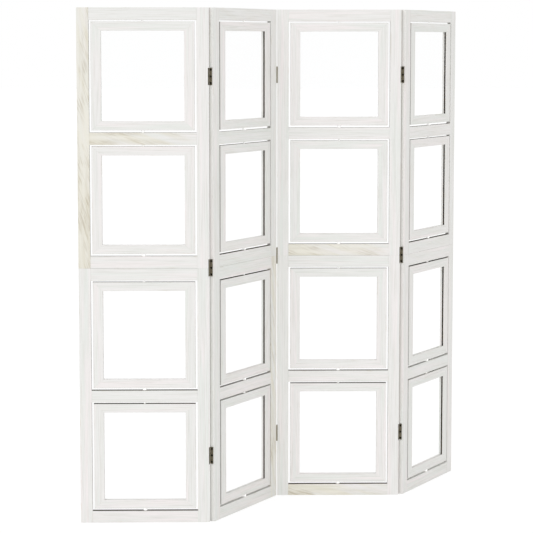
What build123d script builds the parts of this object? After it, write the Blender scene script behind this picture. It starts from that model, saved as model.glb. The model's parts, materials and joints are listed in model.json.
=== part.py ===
"""A four-panel folding screen whose panels each carry four swivelling photo frames.

Frame of the model: Z is up and the floor is Z = 0, the first and third panels run along X, and Y runs
from the front of the screen to its back. The origin is the middle of the footprint's bounding box.

Sizes are in millimetres and angles in degrees. In a panel's own terms, "across" runs along its width
from its left edge, "back" runs from its front face through its thickness, and "height" is from the floor.
"""

from build123d import *

import os

# ---------------------------------------------------------------- driving sizes

# The panels: each is a lower and an upper half, two stiles and three rails a half
rails_a_half = 3
panel_width = 403.0
half_height = 800.0
thickness = 15.0
stile_width = 37.0
rail_height = 38.0
edge_break = 0.8  # chamfer along the long edges of the wood

# Stub tenons that carry the rails in the stiles
tenon_length = 12.0
tenon_thickness = 6.0
tenon_shoulder = 6.0  # wood left above and below a tenon
tenon_play = 1.0  # room past a tenon's end

# Loose tongues that line up the halves, one in each stile
tongue_length = 60.0
tongue_width = 14.0
tongue_thickness = 6.0

# The photo frames and the gaps that let them turn
side_gap = 6.0
top_gap = 4.5
bottom_gap = 6.5
side_bar_width = 31.5
end_bar_width = 28.0
groove_lip = 3.0  # wood in front of the groove that holds the sheets
groove_width = 5.0
groove_depth = 8.0
sheet_thickness = 1.2
sheet_play = 1.5  # room between a sheet's edge and the groove's floor, but none below it

# The pivots that each photo frame turns on
pivot_radius = 3.5
pivot_in_rail = 14.0
pivot_in_frame = 12.0
pivot_fit = 0.08  # radial running clearance in the photo frame's bore
pivot_end_play = 1.0
collar_radius = 6.0
collar_play = 0.2  # between the collar and the photo frame that it carries

# How the screen stands, and the gaps between the edges of its panels when it is opened flat
fold_angle = 60.0
ridge_gap = 0.8
valley_gap = 2.8
axis_stand_off = 0.3  # from the panels' faces to the hinge axis

# The hinges: three at each joint
hinge_height = 52.5
hinge_end_distance = 210.0  # from the screen's top and bottom to the middle of a hinge
barrel_radius = 2.25
swing_clearance = 0.3  # between a barrel and all that turns around it
knuckle_gap = 0.3
knuckle_count = 3
leaf_thickness = 1.5
leaf_width = 10.5
hinge_pin_radius = 1.1
hinge_pin_fit = 0.05
pin_overhang = 0.8  # how far a hinge pin stands out of each end of its barrel
mortise_play = 0.5  # above and below a hinge pin

round_sides = 10  # a pin or bore has this many sides, because the screen has over a hundred of them

# ---------------------------------------------------------------- what follows from them

panel_height = 2 * half_height
clear_width = panel_width - 2 * stile_width
bay_height = (half_height - rails_a_half * rail_height) / (rails_a_half - 1)
bay_pitch = bay_height + rail_height
frame_width = clear_width - 2 * side_gap
frame_height = bay_height - top_gap - bottom_gap
tenon_height = rail_height - 2 * tenon_shoulder
tongue_across = (stile_width - tenon_length - tenon_play) / 2  # from a stile's outer edge
leaf_seat = barrel_radius + swing_clearance  # from the hinge axis to the floor of its mortise
plate_start = barrel_radius + swing_clearance
mortise_height = hinge_height + 2 * (pin_overhang + mortise_play)
knuckle_pitch = (hinge_height + knuckle_gap) / knuckle_count
hinge_heights = [hinge_end_distance, half_height, panel_height - hinge_end_distance]

# The undersides of the rails of each half, from the floor up
rail_bottoms = {base: [base + n * bay_pitch for n in range(rails_a_half)] for base in (0, half_height)}
# The lower edges of the photo frames, each above the first or second rail of its half
rows = {
    "bottom": rail_bottoms[0][0] + rail_height + bottom_gap,
    "lower": rail_bottoms[0][1] + rail_height + bottom_gap,
    "upper": rail_bottoms[half_height][0] + rail_height + bottom_gap,
    "top": rail_bottoms[half_height][1] + rail_height + bottom_gap,
}

# ---------------------------------------------------------------- where the panels stand

panels = range(1, 5)
turns = {1: 0.0, 2: fold_angle, 3: 0.0, 4: fold_angle}  # each panel's direction, from +X
joints = range(1, 4)  # joint 1 is between panels 1 and 2
edge_gaps = {1: ridge_gap, 2: valley_gap, 3: ridge_gap}
# The ridges turn on an axis behind the panels and the valley on one in front of them
axis_backs = {1: thickness + axis_stand_off, 2: -axis_stand_off, 3: thickness + axis_stand_off}


def step(panel, across, back):
    """The world vector that goes `across` along a panel and `back` through its thickness."""
    return Vector(across, back).rotate(Axis.Z, turns[panel])


def chain_panels():
    """Each panel's lower left front corner and each joint's axis, with panel 1's corner at zero."""
    corners, axes = {1: Vector(0, 0)}, {}
    for joint in joints:
        half_gap = edge_gaps[joint] / 2
        axes[joint] = corners[joint] + step(joint, panel_width + half_gap, axis_backs[joint])
        corners[joint + 1] = axes[joint] - step(joint + 1, -half_gap, axis_backs[joint])
    return corners, axes


corners, axes = chain_panels()
# The footprint's corners, which give the middle of its bounding box
footprint = [
    corners[panel] + step(panel, across, back)
    for panel in panels
    for across in (0, panel_width)
    for back in (0, thickness)
]
middle = Vector(
    (min(p.X for p in footprint) + max(p.X for p in footprint)) / 2,
    (min(p.Y for p in footprint) + max(p.Y for p in footprint)) / 2,
)
corners = {panel: corner - middle for panel, corner in corners.items()}
axes = {joint: axis - middle for joint, axis in axes.items()}


def level(panel, height):
    """A level plane whose x runs across a panel and whose y runs back through it."""
    return Plane(corners[panel] + Vector(0, 0, height), x_dir=step(panel, 1, 0), z_dir=(0, 0, 1))


def elevation(panel, back=0.0):
    """The plane of a panel's front face, or one behind it: x runs across, y up and z to the front."""
    return Plane(
        corners[panel] + step(panel, 0, back), x_dir=step(panel, 1, 0), z_dir=step(panel, 0, -1)
    )


def section(panel, across):
    """An upright plane that cuts across a panel: x runs back, y up and z across."""
    return Plane(
        corners[panel] + step(panel, across, 0), x_dir=step(panel, 0, 1), z_dir=step(panel, 1, 0)
    )


def leaf_face(joint, panel, centre):
    """The plane of a hinge leaf's open face: x runs from the axis to the leaf's free edge, z out of it."""
    into_panel = 1 if panel > joint else -1
    to_free_edge = -1 if axis_backs[joint] > 0 else 1
    return Plane(
        axes[joint] + Vector(0, 0, centre) + step(panel, into_panel * (leaf_seat - leaf_thickness), 0),
        x_dir=step(panel, 0, to_free_edge),
        z_dir=step(panel, -into_panel, 0),
    )


def axis_level(joint, height):
    """A level plane centred on a hinge axis."""
    return Plane(axes[joint] + Vector(0, 0, height))


def pin_outline(radius):
    """A pin's section, whose corners lie on the circle."""
    return RegularPolygon(radius, round_sides)


def bore_outline(radius):
    """A bore's section, whose sides touch the circle, so that a pin turns inside it."""
    return RegularPolygon(radius, round_sides, major_radius=False)


# ---------------------------------------------------------------- the panels' wood


def hinged_edges(panel):
    """The joints that a panel takes part in, with how far across the panel the edge of each is."""
    edges = {panel: panel_width, panel - 1: 0.0}
    return {joint: edge for joint, edge in edges.items() if joint in joints}


def make_stile(panel, side, base):
    """A stile of one half: mortises for its rails and its hinges, and a slot in its end for a tongue."""
    outer_edge, into_stile = (0.0, 1) if side == "left" else (panel_width, -1)
    centre = (outer_edge + into_stile * stile_width / 2, thickness / 2)
    with BuildPart() as stile:
        with BuildSketch(level(panel, base)) as stile_profile:
            with Locations(centre):
                Rectangle(stile_width, thickness)
            chamfer(stile_profile.vertices(), edge_break)
        extrude(amount=half_height)

        tenon_centres = [(thickness / 2, bottom + rail_height / 2) for bottom in rail_bottoms[base]]
        with BuildSketch(section(panel, outer_edge + into_stile * stile_width)):
            with Locations(*tenon_centres):
                Rectangle(tenon_thickness, tenon_height)
        extrude(amount=-into_stile * (tenon_length + tenon_play), mode=Mode.SUBTRACT)

        for joint, edge in hinged_edges(panel).items():
            if edge == outer_edge:
                mortise_depth = leaf_seat - edge_gaps[joint] / 2
                with BuildSketch(elevation(panel)):
                    with Locations(*[(edge, height) for height in hinge_heights]):
                        Rectangle(2 * mortise_depth, mortise_height)
                extrude(amount=-thickness, mode=Mode.SUBTRACT)

        with BuildSketch(level(panel, half_height - tongue_length / 2)):
            with Locations((outer_edge + into_stile * tongue_across, thickness / 2)):
                Rectangle(tongue_width, tongue_thickness)
        extrude(amount=tongue_length, mode=Mode.SUBTRACT)
    return stile.part


def make_rail(panel, bottom, frame_above, frame_below):
    """A rail between the stiles, a stub tenon on each end, bored for the pivots above and below it."""
    socket_bottoms = []
    if frame_above:
        socket_bottoms.append(bottom + rail_height - pivot_in_rail)
    if frame_below:
        socket_bottoms.append(bottom)
    with BuildPart() as rail:
        with BuildSketch(section(panel, stile_width)) as rail_profile:
            with Locations((thickness / 2, bottom + rail_height / 2)):
                Rectangle(thickness, rail_height)
            chamfer(rail_profile.vertices(), edge_break)
        extrude(amount=clear_width)
        with BuildSketch(section(panel, stile_width - tenon_length)):
            with Locations((thickness / 2, bottom + rail_height / 2)):
                Rectangle(tenon_thickness, tenon_height)
        extrude(amount=clear_width + 2 * tenon_length)
        for socket_bottom in socket_bottoms:
            with BuildSketch(level(panel, socket_bottom)):
                with Locations((panel_width / 2, thickness / 2)):
                    pin_outline(pivot_radius)
            extrude(amount=pivot_in_rail, mode=Mode.SUBTRACT)
    return rail.part


def make_tongue(panel, side):
    """A loose tongue, half in the lower stile and half in the upper one."""
    across = tongue_across if side == "left" else panel_width - tongue_across
    with BuildPart() as tongue:
        with BuildSketch(level(panel, half_height - tongue_length / 2)):
            with Locations((across, thickness / 2)):
                Rectangle(tongue_width, tongue_thickness)
        extrude(amount=tongue_length)
    return tongue.part


# ---------------------------------------------------------------- the pivots


def make_lower_pivot(panel, frame_bottom):
    """The pin under a photo frame, with the collar that the frame stands and turns on."""
    with BuildPart() as pivot:
        with BuildSketch(level(panel, frame_bottom - bottom_gap - pivot_in_rail)):
            with Locations((panel_width / 2, thickness / 2)):
                pin_outline(pivot_radius)
        extrude(amount=pivot_in_rail + bottom_gap + pivot_in_frame)
        with BuildSketch(level(panel, frame_bottom - bottom_gap)):
            with Locations((panel_width / 2, thickness / 2)):
                pin_outline(collar_radius)
        extrude(amount=bottom_gap - collar_play)
    return pivot.part


def make_upper_pivot(panel, frame_bottom):
    """The plain pin above a photo frame, held in the rail."""
    with BuildPart() as pivot:
        with BuildSketch(level(panel, frame_bottom + frame_height - pivot_in_frame)):
            with Locations((panel_width / 2, thickness / 2)):
                pin_outline(pivot_radius)
        extrude(amount=pivot_in_frame + top_gap + pivot_in_rail)
    return pivot.part


# ---------------------------------------------------------------- the photo frames


def make_bar(panel, frame_bottom, place):
    """One mitred bar of a photo frame, grooved on its inner side; the end bars are bored for the pivots."""
    left, low = stile_width + side_gap, frame_bottom
    right, high = left + frame_width, low + frame_height
    inner_left, inner_right = left + side_bar_width, right - side_bar_width
    inner_low, inner_high = low + end_bar_width, high - end_bar_width
    outline = {
        "bottom": [(left, low), (right, low), (inner_right, inner_low), (inner_left, inner_low)],
        "right": [(right, low), (right, high), (inner_right, inner_high), (inner_right, inner_low)],
        "top": [(right, high), (left, high), (inner_left, inner_high), (inner_right, inner_high)],
        "left": [(left, high), (left, low), (inner_left, inner_low), (inner_left, inner_high)],
    }[place]
    with BuildPart() as bar:
        with BuildSketch(elevation(panel)):
            with BuildLine():
                Polyline(*outline, close=True)
            make_face()
        extrude(amount=-thickness)
        along = elevation(panel).x_dir if place in ("bottom", "top") else elevation(panel).y_dir
        chamfer(bar.edges().filter_by(Axis(bar.part.center(), along)), edge_break)

        # The groove is as wide as the pocket that runs round the whole frame
        with BuildSketch(elevation(panel, groove_lip)):
            with Locations((panel_width / 2, (low + high) / 2)):
                Rectangle(
                    inner_right - inner_left + 2 * groove_depth,
                    inner_high - inner_low + 2 * groove_depth,
                )
        extrude(amount=-groove_width, mode=Mode.SUBTRACT)

        if place in ("bottom", "top"):
            bore_depth = pivot_in_frame + pivot_end_play
            bore_bottom = low if place == "bottom" else high - bore_depth
            with BuildSketch(level(panel, bore_bottom)):
                with Locations((panel_width / 2, thickness / 2)):
                    bore_outline(pivot_radius + pivot_fit)
            extrude(amount=bore_depth, mode=Mode.SUBTRACT)
    return bar.part


def make_sheet(panel, frame_bottom, back):
    """A clear sheet that stands in the bottom groove, its front face `back` behind the panel's front."""
    sheet_width = frame_width - 2 * side_bar_width + 2 * (groove_depth - sheet_play)
    sheet_bottom = frame_bottom + end_bar_width - groove_depth
    sheet_top = frame_bottom + frame_height - end_bar_width + groove_depth - sheet_play
    with BuildPart() as sheet:
        with BuildSketch(elevation(panel, back)):
            with Locations((panel_width / 2, (sheet_bottom + sheet_top) / 2)):
                Rectangle(sheet_width, sheet_top - sheet_bottom)
        extrude(amount=-sheet_thickness)
    return sheet.part


# ---------------------------------------------------------------- the hinges


def make_leaf(joint, panel, centre):
    """A hinge leaf in its mortise: a plate with every other knuckle of the barrel."""
    holds_pin = panel == joint
    knuckle_height = knuckle_pitch - knuckle_gap
    first_knuckle = 0 if holds_pin else 1
    knuckle_bottoms = [
        n * knuckle_pitch - hinge_height / 2 for n in range(first_knuckle, knuckle_count, 2)
    ]
    neck_centres = [(plate_start / 2, bottom + knuckle_height / 2) for bottom in knuckle_bottoms]
    with BuildPart() as leaf:
        with BuildSketch(leaf_face(joint, panel, centre)):
            with Locations(((plate_start + leaf_width) / 2, 0)):
                Rectangle(leaf_width - plate_start, hinge_height)
            with Locations(*neck_centres):
                Rectangle(plate_start, knuckle_height)
        extrude(amount=-leaf_thickness)
        for bottom in knuckle_bottoms:
            with BuildSketch(axis_level(joint, centre + bottom)):
                pin_outline(barrel_radius)
            extrude(amount=knuckle_height)
        with BuildSketch(axis_level(joint, centre - hinge_height / 2)):
            if holds_pin:
                pin_outline(hinge_pin_radius)
            else:
                bore_outline(hinge_pin_radius + hinge_pin_fit)
        extrude(amount=hinge_height, mode=Mode.SUBTRACT)
    return leaf.part


def make_hinge_pin(joint, centre):
    """The pin of a hinge, held in the knuckles of the left leaf."""
    with BuildPart() as pin:
        with BuildSketch(axis_level(joint, centre - hinge_height / 2 - pin_overhang)):
            pin_outline(hinge_pin_radius)
        extrude(amount=hinge_height + 2 * pin_overhang)
    return pin.part


# ---------------------------------------------------------------- the written parts


def write(name, solids):
    """Writes one node: a STEP file of one or more separate solids."""
    node = Compound(label=name, children=[Part(solid.wrapped) for solid in solids])
    export_step(node, f"parts/{name}.step")


os.makedirs("parts", exist_ok=True)
sides = ("left", "right")
for panel in panels:
    stiles = [make_stile(panel, side, base) for base in rail_bottoms for side in sides]
    rails = [
        make_rail(panel, bottom, frame_above=bottom != bottoms[-1], frame_below=bottom != bottoms[0])
        for bottoms in rail_bottoms.values()
        for bottom in bottoms
    ]
    lower_pivots = [make_lower_pivot(panel, bottom) for bottom in rows.values()]
    upper_pivots = [make_upper_pivot(panel, bottom) for bottom in rows.values()]
    write(f"panel_{panel}_stiles", stiles)
    write(f"panel_{panel}_rails", rails)
    write(f"panel_{panel}_tongues", [make_tongue(panel, side) for side in sides])
    write(f"panel_{panel}_pivots", lower_pivots + upper_pivots)
    for row, frame_bottom in rows.items():
        bars = [make_bar(panel, frame_bottom, place) for place in ("bottom", "right", "top", "left")]
        sheet_backs = (groove_lip, groove_lip + groove_width - sheet_thickness)
        write(f"photo_frame_{panel}_{row}", bars)
        write(
            f"clear_sheets_{panel}_{row}",
            [make_sheet(panel, frame_bottom, back) for back in sheet_backs],
        )
for joint in joints:
    for panel, hand in ((joint, "left"), (joint + 1, "right")):
        leaves = [make_leaf(joint, panel, centre) for centre in hinge_heights]
        write(f"hinge_{joint}_{hand}_leaves", leaves)
    write(f"hinge_{joint}_pins", [make_hinge_pin(joint, centre) for centre in hinge_heights])
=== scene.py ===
# %% [markdown]
# # A folding screen with photo frames that turn
#
# The screen is four panels of white-washed wood, joined by butt hinges. Each panel is a ladder of two
# stiles and six rails, and carries four photo frames that turn on upright pins. This lesson dresses the
# solids of the CAD model: it loads them as a fixed frame, makes the boards, bars, pins and hinges with
# Geometry Nodes, and gives each its finish. Every length is in metres, and the model stands on Z = 0.

# %% Load the frame
import json
from functools import partial
from math import pi, radians
import bpy
import numpy as np
from mathutils import Matrix, Vector


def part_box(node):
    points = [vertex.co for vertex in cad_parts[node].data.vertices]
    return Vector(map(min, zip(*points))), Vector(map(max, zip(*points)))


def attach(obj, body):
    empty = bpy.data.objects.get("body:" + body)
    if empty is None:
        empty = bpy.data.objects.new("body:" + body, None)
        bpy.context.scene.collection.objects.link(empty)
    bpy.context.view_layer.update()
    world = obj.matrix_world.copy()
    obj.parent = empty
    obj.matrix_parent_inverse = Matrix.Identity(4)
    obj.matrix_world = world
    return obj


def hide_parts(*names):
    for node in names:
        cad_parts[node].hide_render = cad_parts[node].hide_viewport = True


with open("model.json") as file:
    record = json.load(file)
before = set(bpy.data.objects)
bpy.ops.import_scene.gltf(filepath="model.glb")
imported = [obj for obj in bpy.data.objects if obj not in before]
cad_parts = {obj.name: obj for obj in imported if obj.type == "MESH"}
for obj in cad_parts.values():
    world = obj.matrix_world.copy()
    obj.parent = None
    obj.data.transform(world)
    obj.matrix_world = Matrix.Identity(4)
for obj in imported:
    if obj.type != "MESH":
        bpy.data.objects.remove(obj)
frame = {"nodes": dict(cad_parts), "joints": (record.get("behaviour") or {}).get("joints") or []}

scene = bpy.context.scene
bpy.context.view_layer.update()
MM = 0.001

# %% [markdown]
# ## Camera
#
# The screen is shown from the front, a little above its middle. A long lens keeps its uprights almost
# parallel, and a small vertical shift lowers the picture's centre without tipping the camera further.

# %% Place the camera
camera = bpy.data.objects.new("camera", bpy.data.cameras.new("camera"))
camera.location = (-0.1305, -6.2164, 1.4832)
tipped_down, turned_right = radians(5.804), radians(0.89)
camera.rotation_euler = (pi / 2 - tipped_down, 0, -turned_right)
camera.data.lens = 128.89
camera.data.sensor_width = 36
camera.data.shift_y = -0.05
scene.collection.objects.link(camera)
scene.camera = camera
scene.view_settings.view_transform = "Standard"
# Folded up, the screen is looked at through eight clear sheets in a row, with two faces each
scene.cycles.transparent_max_bounces = 32
print("camera at", tuple(camera.location))

# %% [markdown]
# ## Helpers for node trees
#
# Materials and Geometry Nodes are both trees of nodes. One function adds a node, sets its options and
# feeds its sockets, with plain values or with links from other nodes. Each step binds it to the tree that
# it works on, and calls it `add`. A second function turns the hex value of a colour, which is how a paint
# chart gives it, into the linear numbers that a shader works with.

# %% Helpers for nodes and colours
SOURCES = (bpy.types.Node, bpy.types.NodeSocket)


def add_node(tree, kind, feeds=None, **settings):
    """Adds a node, sets its options and feeds its sockets.

    A socket takes a value, another socket, or a node, which gives its first output. It also takes three
    of these in a tuple, as the parts of a vector, or several in a list.
    """
    node = tree.nodes.new(kind)
    for option, value in settings.items():
        setattr(node, option, value)
    for socket, value in (feeds or {}).items():
        for source in value if isinstance(value, list) else [value]:
            if isinstance(source, tuple) and any(isinstance(part, SOURCES) for part in source):
                source = add_node(tree, "ShaderNodeCombineXYZ", dict(enumerate(source)))
            if isinstance(source, bpy.types.Node):
                source = next(output for output in source.outputs if output.enabled)
            if isinstance(source, bpy.types.NodeSocket):
                tree.links.new(source, node.inputs[socket])
            else:
                node.inputs[socket].default_value = source
    return node


def linear(hex_colour):
    """An sRGB hex colour as linear RGBA."""
    shares = [int(hex_colour[n : n + 2], 16) / 255 for n in (1, 3, 5)]
    return (*(s / 12.92 if s <= 0.04045 else ((s + 0.055) / 1.055) ** 2.4 for s in shares), 1.0)


def new_material(name):
    """A material with an empty tree, and add_node bound to that tree."""
    material = bpy.data.materials.new(name)
    material.use_nodes = True
    material.node_tree.nodes.clear()
    return material, partial(add_node, material.node_tree)


WHITE = linear("#FFFFFF")
print("mid grey is", [round(share, 3) for share in linear("#808080")])

# %% [markdown]
# ## Studio
#
# The screen stands on a plain white sweep under soft light: an even dome, as a light tent gives, and a
# broad lamp at the front left, so that the turned panels come out a shade darker. To the camera, and in
# anything that mirrors or lets light through, the sweep is paper white. The floor gives part of that white
# by itself and part from the light that falls on it, so that it still takes the screen's shadow.

# %% The dome
def seen_directly(add):
    """1 for the rays that show a surface, also mirrored or let through, and 0 for those that light it."""
    rays = add("ShaderNodeLightPath").outputs
    seen = add("ShaderNodeMath", {0: rays["Is Camera Ray"], 1: rays["Is Glossy Ray"]}, operation="MAXIMUM")
    return add("ShaderNodeMath", {0: seen, 1: rays["Is Transmission Ray"]}, operation="MAXIMUM")


world = bpy.data.worlds.new("studio")
scene.world = world
world.use_nodes = True
world.node_tree.nodes.clear()
add = partial(add_node, world.node_tree)
dome = add("ShaderNodeBackground", {"Color": WHITE, "Strength": 0.9})
paper = add("ShaderNodeBackground", {"Color": WHITE, "Strength": 1.0})
both = add("ShaderNodeMixShader", {0: seen_directly(add), 1: dome, 2: paper})
add("ShaderNodeOutputWorld", {"Surface": both})
print("the dome has", len(world.node_tree.nodes), "nodes")

# %% The floor and the lamp
floor_paint, add = new_material("white_studio_floor")
paint = add("ShaderNodeBsdfDiffuse", {"Color": linear("#F4F4F4")})
# A little light from below evens out what the screen's own shadow takes away
glow = add("ShaderNodeEmission", {"Color": WHITE, "Strength": 0.05})
paint = add("ShaderNodeAddShader", {0: paint, 1: glow})
# Seen directly, the paper gives 0.78 of white by itself, and the light that falls on it the rest
thin_paint = add("ShaderNodeBsdfDiffuse", {"Color": linear("#909090")})
paper = add("ShaderNodeEmission", {"Color": WHITE, "Strength": 0.78})
lit_paper = add("ShaderNodeAddShader", {0: thin_paint, 1: paper})
both = add("ShaderNodeMixShader", {0: seen_directly(add), 1: paint, 2: lit_paper})
add("ShaderNodeOutputMaterial", {"Surface": both})

side, front, back = 30, -30, 60
floor_mesh = bpy.data.meshes.new("floor")
corners = [(-side, front, 0), (side, front, 0), (side, back, 0), (-side, back, 0)]
floor_mesh.from_pydata(corners, [], [(0, 1, 2, 3)])
floor_mesh.materials.append(floor_paint)
floor = bpy.data.objects.new("floor", floor_mesh)
scene.collection.objects.link(floor)

lamp = bpy.data.objects.new("front_lamp", bpy.data.lights.new("front_lamp", "SUN"))
lamp.data.energy = 0.42
lamp.data.angle = radians(30)
towards_lamp = Vector((-0.45, -0.8, 0.45))
lamp.rotation_euler = towards_lamp.to_track_quat("Z", "Y").to_euler()
scene.collection.objects.link(lamp)
print("floor", tuple(floor.dimensions))

# %% [markdown]
# ## White-washed wood
#
# The boards are a light, soft wood such as paulownia, planed, stained white and left matt, so that the
# grain still shows through the wash. Each board comes from another plank: some took the wash a little
# pink, some a little green, and a few hardly took it and stay beige with darker streaks. The pattern
# could be painted as an image, but then it would not fit another size. Noise that is stretched along
# the board gives grain of any length, and each board brings its own coordinates in attributes:
#
# - `grain` runs along, across and through the board, and `section` says where in the board a point is,
#   from -1 to 1.
# - `tint` and `bare` say how the board took the wash.
# - Two attributes mark the narrow faces inside the gaps, which are drawn dark as painted shade, and a third
#   says how much: 0 is none and 1 is full, and above 1 the eased corner beside them is shaded too.
# - `corner` marks the boards that close on a neighbour, where painted shade darkens the inner corner, and
#   one more marks the groove, which was cut after washing and is drawn as bare wood far darker than it is, as
#   painted shade.

# %% Patterns and coats
def stretched(add, vector, along, across, through=None, **feeds):
    """Noise with patches of these sizes in millimetres, as deep as they are wide if not said otherwise."""
    patches_per_metre = tuple(1 / (size * MM) for size in (along, across, through or across))
    scaled = add("ShaderNodeVectorMath", {0: vector, 1: patches_per_metre}, operation="MULTIPLY")
    return add("ShaderNodeTexNoise", {"Vector": scaled, "Scale": 1.0, **feeds})


def coated(add, under, over, pattern, start, full, most=1.0):
    """A colour with another over it where a pattern rises from start to full, and there as much as most."""
    share = add("ShaderNodeMapRange", {"Value": pattern, "From Min": start, "From Max": full, "To Max": most})
    return add("ShaderNodeMix", {"Factor": share, "A": under, "B": over}, data_type="RGBA")


washed_wood, add = new_material("white_washed_paulownia")
grain = add("ShaderNodeAttribute", attribute_name="grain").outputs["Vector"]
section = add("ShaderNodeAttribute", attribute_name="section").outputs["Vector"]
marks = {}
for label in ("tint", "bare", "raw", "unwashed", "part_washed", "corner", "coarse"):
    marks[label] = add("ShaderNodeAttribute", attribute_name=label).outputs["Fac"]
print("a board tells its wood", 2 + len(marks), "things")

# %% Washed boards
# The wash dries in clouds 260 mm long and 16 mm wide, from faintly green to faintly pink
clouds = stretched(add, grain, 260, 16, Detail=1.0)
clouds = add("ShaderNodeMath", {0: marks["tint"], 1: 0.25, 2: clouds}, operation="MULTIPLY_ADD")
wash = coated(add, linear("#E9EBE7"), linear("#F3EEED"), clouds, 0.5, 0.76)
# Growth rings, seen as soft bands 9 mm apart that run for most of the board
bands = stretched(add, grain, 700, 9, Detail=2.0, Roughness=0.5)
wash = coated(add, wash, linear("#EEEDEB"), bands, 0.42, 0.58, 0.8)
# Fibres are finer than 0.5 mm, but are drawn 2.2 mm wide because finer ones would not show
fibres = stretched(add, grain, 130, 2.2, Detail=3.0, Roughness=0.6)
wash = coated(add, wash, linear("#DAD9D3"), fibres, 0.48, 0.7, 0.7)
print("wash:", len(washed_wood.node_tree.nodes), "nodes")

# %% Beige boards
# Soft figure 10 mm wide, and brown streaks that run askew in places. Real ones are finer than 1 mm, but
# are drawn 3 mm wide because finer ones would not show
figure = stretched(add, grain, 190, 10, Detail=2.0, Roughness=0.5)
beige = coated(add, linear("#ECE9DE"), linear("#E2DED0"), figure, 0.38, 0.66)
askew = add("ShaderNodeMapping", {"Vector": grain, "Rotation": (0, 0, radians(-17))})
streaks = stretched(add, askew, 45, 3, Detail=2.0, Roughness=0.5)
places = stretched(add, grain, 90, 30, Detail=1.0)
streaks = add("ShaderNodeMath", {0: streaks, 1: places}, operation="MULTIPLY")
beige = coated(add, beige, linear("#C2B9A4"), streaks, 0.25, 0.42, 0.75)
# A half-bare board is bare in patches with slanting edges
patches = stretched(add, askew, 150, 15, Detail=1.0)
spread = {"From Min": 0.3, "From Max": 0.7, "To Min": -2.0, "To Max": 2.0}
patches = add("ShaderNodeMapRange", {"Value": patches, **spread})
bare = marks["bare"]
washed = add("ShaderNodeMath", {0: 1.0, 1: bare}, operation="SUBTRACT")
halfway = add("ShaderNodeMath", {0: bare, 1: washed}, operation="MULTIPLY")
beige_share = add(
    "ShaderNodeMath", {0: halfway, 1: patches, 2: bare}, operation="MULTIPLY_ADD", use_clamp=True,
)
board = add("ShaderNodeMix", {"Factor": beige_share, "A": wash, "B": beige}, data_type="RGBA")
print("wash and beige:", len(washed_wood.node_tree.nodes), "nodes")

# %% Worn edges, and painted shade in the inner corners
where = add("ShaderNodeSeparateXYZ", {"Vector": section}).outputs
across = add("ShaderNodeMath", {0: where["Y"]}, operation="ABSOLUTE")
through = add("ShaderNodeMath", {0: where["Z"]}, operation="ABSOLUTE")
# Wear: handling rubs a little of the wash off the long edges, in patches
edge = add("ShaderNodeMath", {0: across, 1: through}, operation="MULTIPLY")
handled = stretched(add, grain, 45, 9, Detail=2.0)
rubbed = add("ShaderNodeMath", {0: edge, 1: handled}, operation="MULTIPLY")
worn = coated(add, board, linear("#CFC6B2"), rubbed, 0.54, 0.66, 0.3)
# Where two panels close on each other, painted shade darkens the inner corner of the narrow face,
# which lies beyond this share of the half width
narrow_face = -0.97
deep = add("ShaderNodeMath", {0: marks["corner"], 1: where["Z"]}, operation="MULTIPLY")
deep = add("ShaderNodeMapRange", {"Value": deep, "From Min": 0.6, "From Max": 0.95, "To Max": 0.75})
on_edge = add("ShaderNodeMath", {0: where["Y"], 1: narrow_face}, operation="LESS_THAN")
corner_shade_mask = add("ShaderNodeMath", {0: deep, 1: on_edge}, operation="MULTIPLY")
corner_shaded = add("ShaderNodeMix", {"Factor": corner_shade_mask, "A": worn, "B": linear("#857C6E")}, data_type="RGBA")
print("with its wear:", len(washed_wood.node_tree.nodes), "nodes")

# %% Faces inside the gaps
# These narrow faces are drawn dark brown, as painted shade inside the gaps. On the stiles' inner edges and
# the rails' undersides it leaves 4 mm light in from the front and from the back, and covers the middle half
# of the thickness
middle = add("ShaderNodeMapRange", {"Value": through, "From Min": 0.55, "From Max": 0.45})
inside = add("ShaderNodeMath", {0: middle, 1: marks["part_washed"]}, operation="MULTIPLY")
gap_face = add("ShaderNodeMath", {0: inside, 1: marks["unwashed"]}, operation="MAXIMUM")
painted_gap_shade = add("ShaderNodeMath", {0: gap_face, 1: marks["coarse"]}, operation="MULTIPLY")
# Where a board's share of gap shade is above 1, the painted shade also covers the eased corners beside its
# upper or outer face, which take up the last 0.8 mm of its half width and of its half thickness
eased_across = -0.955
eased_through = 0.89
on_side = add("ShaderNodeMath", {0: where["Y"], 1: eased_across}, operation="LESS_THAN")
on_corner = add("ShaderNodeMath", {0: through, 1: eased_through}, operation="GREATER_THAN")
on_corner = add("ShaderNodeMath", {0: on_corner, 1: on_side}, operation="MULTIPLY")
deepest_shade = add("ShaderNodeMath", {0: marks["coarse"], 1: 1.0}, operation="SUBTRACT", use_clamp=True)
on_corner = add("ShaderNodeMath", {0: on_corner, 1: deepest_shade}, operation="MULTIPLY")
painted_gap_shade = add("ShaderNodeMath", {0: painted_gap_shade, 1: on_corner}, operation="MAXIMUM")
# The painted shade is dark brown, a little lighter or darker along the fibres
tones = {"A": linear("#3E2F15"), "B": linear("#30240F")}
gap_shade_colour = add("ShaderNodeMix", {"Factor": fibres, **tones}, data_type="RGBA")
gap_shaded = add("ShaderNodeMix", {"Factor": painted_gap_shade, "A": corner_shaded, "B": gap_shade_colour}, data_type="RGBA")
# The groove was cut after the wash had dried, so it is bare wood, drawn far darker than bare paulownia as
# painted shade in the groove
cut = add("ShaderNodeMix", {"Factor": marks["raw"], "A": gap_shaded, "B": linear("#57472F")}, data_type="RGBA")

roughness = add("ShaderNodeMapRange", {"Value": fibres, "To Min": 0.5, "To Max": 0.72})
relief = add("ShaderNodeBump", {"Height": fibres, "Strength": 0.35, "Distance": 0.15 * MM})
matt = {"Roughness": roughness, "Normal": relief, "IOR": 1.5, "Specular IOR Level": 0.2}
surface = add("ShaderNodeBsdfPrincipled", {"Base Color": cut, **matt})
add("ShaderNodeOutputMaterial", {"Surface": surface})
print(washed_wood.name, "has", len(washed_wood.node_tree.nodes), "nodes")

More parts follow.
